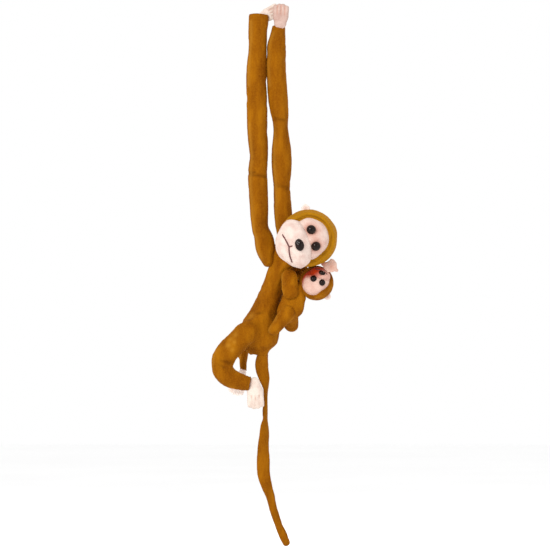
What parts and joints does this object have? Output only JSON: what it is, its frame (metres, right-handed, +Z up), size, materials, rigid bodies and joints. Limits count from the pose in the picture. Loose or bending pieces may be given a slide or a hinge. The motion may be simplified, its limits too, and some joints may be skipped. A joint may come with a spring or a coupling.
{
  "type": "stuffed monkey",
  "caption": "Long-armed plush monkey hanging by its clasped hands, with a baby monkey clinging to its back, jointed limbs, tail and heads.",
  "frame": {"origin": "the clasp of the two hands, where the toy is hung", "axes": "+Z up, along the long arms; +X to the right as seen from the front, towards the baby; the faces look along -Y"},
  "size_m": [0.1907, 0.1766, 0.8483],
  "materials": {
    "brown_plush": "matte",
    "pale_plush": "matte",
    "blush_plush": "matte",
    "polyester_filling": "matte",
    "black_plastic": "gloss",
    "washer_plastic": "satin",
    "mouth_thread": "satin",
    "hook_and_loop": "matte"
  },
  "bodies": {
    "clasped_hands": {"hand_left": "blush_plush", "hand_right": "blush_plush", "hook_patch": "hook_and_loop", "loop_patch": "hook_and_loop"},
    "forearm_left": {"forearm_left_plush": "blush_plush", "forearm_left_filling": "polyester_filling"},
    "forearm_right": {"forearm_right_plush": "blush_plush", "forearm_right_filling": "polyester_filling"},
    "upper_arm_left": {"upper_arm_left_plush": "brown_plush", "upper_arm_left_filling": "polyester_filling"},
    "upper_arm_right": {"upper_arm_right_plush": "brown_plush", "upper_arm_right_filling": "polyester_filling"},
    "trunk": {"trunk_plush": "brown_plush", "trunk_filling": "polyester_filling"},
    "head": {"head_hood": "brown_plush", "face_panel": "pale_plush", "muzzle": "pale_plush", "head_filling": "polyester_filling", "ear_left": "blush_plush", "ear_right": "blush_plush", "eye_left": "black_plastic", "eye_right": "black_plastic", "eye_washer_left": "washer_plastic", "eye_washer_right": "washer_plastic", "nose": "black_plastic", "nose_washer": "washer_plastic", "mouth_thread": "mouth_thread"},
    "thigh_near": {"thigh_near_plush": "blush_plush", "thigh_near_filling": "polyester_filling"},
    "shin_near": {"shin_near_plush": "blush_plush", "shin_near_filling": "polyester_filling"},
    "foot_near": {"foot_near": "blush_plush"},
    "thigh_far": {"thigh_far_plush": "brown_plush", "thigh_far_filling": "polyester_filling"},
    "shin_far": {"shin_far_plush": "brown_plush", "shin_far_filling": "polyester_filling"},
    "foot_far": {"foot_far": "pale_plush"},
    "tail_upper": {"tail_upper": "brown_plush"},
    "tail_lower": {"tail_lower": "brown_plush"},
    "baby_trunk": {"baby_trunk_plush": "brown_plush", "baby_trunk_filling": "polyester_filling"},
    "baby_head": {"baby_hood": "brown_plush", "baby_face_panel": "pale_plush", "baby_muzzle": "pale_plush", "baby_head_filling": "polyester_filling", "baby_ear_left": "blush_plush", "baby_ear_right": "blush_plush", "baby_eye_left": "black_plastic", "baby_eye_right": "black_plastic", "baby_eye_washer_left": "washer_plastic", "baby_eye_washer_right": "washer_plastic", "baby_nose": "black_plastic", "baby_mouth_thread": "mouth_thread"},
    "baby_arm_near": {"baby_arm_near": "blush_plush"},
    "baby_arm_far": {"baby_arm_far": "brown_plush"},
    "baby_leg_near": {"baby_leg_near": "blush_plush"},
    "baby_leg_far": {"baby_leg_far": "brown_plush"}
  },
  "joints": [
    {"name": "wrist_left", "type": "hinge", "parent": "clasped_hands", "child": "forearm_left", "pos_m": [-0.026, 0, -0.024], "axis": [1, 0, 0], "range_deg": [-25, 25], "stiffness_Nm_per_rad": 0.1},
    {"name": "wrist_right", "type": "hinge", "parent": "clasped_hands", "child": "forearm_right", "pos_m": [0.004, 0, -0.024], "axis": [1, 0, 0], "range_deg": [-25, 25], "stiffness_Nm_per_rad": 0.1},
    {"name": "elbow_left", "type": "hinge", "parent": "forearm_left", "child": "upper_arm_left", "pos_m": [-0.0265, 0, -0.262], "axis": [1, 0, 0], "range_deg": [-55, 55], "stiffness_Nm_per_rad": 0.5},
    {"name": "elbow_right", "type": "hinge", "parent": "forearm_right", "child": "upper_arm_right", "pos_m": [0.01, 0, -0.262], "axis": [1, 0, 0], "range_deg": [-55, 55], "stiffness_Nm_per_rad": 0.5},
    {"name": "shoulders", "type": "hinge", "parent": "upper_arm_left", "child": "trunk", "pos_m": [-0.018, 0, -0.372], "axis": [1, 0, 0], "range_deg": [0, 38], "stiffness_Nm_per_rad": 1.2},
    {"name": "neck", "type": "hinge", "parent": "trunk", "child": "head", "pos_m": [0.0509, -0.044, -0.3512], "axis": [0, 1, 0], "range_deg": [-60, 0], "stiffness_Nm_per_rad": 0.2},
    {"name": "hip_near", "type": "hinge", "parent": "trunk", "child": "thigh_near", "pos_m": [-0.046, -0.021, -0.499], "axis": [0, 1, 0], "range_deg": [-45, 40], "stiffness_Nm_per_rad": 0.3},
    {"name": "knee_near", "type": "hinge", "parent": "thigh_near", "child": "shin_near", "pos_m": [-0.081, -0.021, -0.546], "axis": [0, 1, 0], "range_deg": [-12, 50], "stiffness_Nm_per_rad": 0.15},
    {"name": "ankle_near", "type": "hinge", "parent": "shin_near", "child": "foot_near", "pos_m": [-0.041, -0.021, -0.574], "axis": [0, 1, 0], "range_deg": [-25, 25], "stiffness_Nm_per_rad": 0.05},
    {"name": "hip_far", "type": "hinge", "parent": "trunk", "child": "thigh_far", "pos_m": [-0.038, 0.0285, -0.5], "axis": [0, 1, 0], "range_deg": [-25, 25], "stiffness_Nm_per_rad": 0.3},
    {"name": "knee_far", "type": "hinge", "parent": "thigh_far", "child": "shin_far", "pos_m": [-0.058, 0.062, -0.52], "axis": [-0.8882, -0.4228, 0.18], "range_deg": [-30, 0], "stiffness_Nm_per_rad": 0.15},
    {"name": "ankle_far", "type": "hinge", "parent": "shin_far", "child": "foot_far", "pos_m": [-0.05, 0.032, -0.551], "axis": [0, 1, 0], "range_deg": [-25, 25], "stiffness_Nm_per_rad": 0.05},
    {"name": "tail_root", "type": "hinge", "parent": "trunk", "child": "tail_upper", "pos_m": [-0.018, 0.003, -0.532], "axis": [0, 1, 0], "range_deg": [-30, 30], "stiffness_Nm_per_rad": 0.05},
    {"name": "tail_middle", "type": "hinge", "parent": "tail_upper", "child": "tail_lower", "pos_m": [-0.016, 0.003, -0.668], "axis": [0, 1, 0], "range_deg": [-50, 50], "stiffness_Nm_per_rad": 0.02},
    {"name": "baby_hold", "type": "hinge", "parent": "trunk", "child": "baby_trunk", "pos_m": [0.01, -0.024, -0.48], "axis": [0, 1, 0], "range_deg": [0, 25], "stiffness_Nm_per_rad": 0.6},
    {"name": "baby_neck", "type": "hinge", "parent": "baby_trunk", "child": "baby_head", "pos_m": [0.0636, -0.024, -0.42], "axis": [0, 1, 0], "range_deg": [-20, 25], "stiffness_Nm_per_rad": 0.05},
    {"name": "baby_shoulder_near", "type": "hinge", "parent": "baby_trunk", "child": "baby_arm_near", "pos_m": [0.031, -0.038, -0.437], "axis": [1, 0, 0], "range_deg": [0, 50], "stiffness_Nm_per_rad": 0.03},
    {"name": "baby_shoulder_far", "type": "hinge", "parent": "baby_trunk", "child": "baby_arm_far", "pos_m": [0.036, -0.003, -0.433], "axis": [1, 0, 0], "range_deg": [-50, 0], "stiffness_Nm_per_rad": 0.03},
    {"name": "baby_hip_near", "type": "hinge", "parent": "baby_trunk", "child": "baby_leg_near", "pos_m": [0.019, -0.033, -0.468], "axis": [1, 0, 0], "range_deg": [-40, 0], "stiffness_Nm_per_rad": 0.03},
    {"name": "baby_hip_far", "type": "hinge", "parent": "baby_trunk", "child": "baby_leg_far", "pos_m": [0.024, -0.007, -0.467], "axis": [1, 0, 0], "range_deg": [0, 40], "stiffness_Nm_per_rad": 0.03}
  ],
  "couplings": [
    {"joint": "wrist_right", "follows": "wrist_left", "ratio": 1},
    {"joint": "elbow_right", "follows": "elbow_left", "ratio": 1}
  ]
}
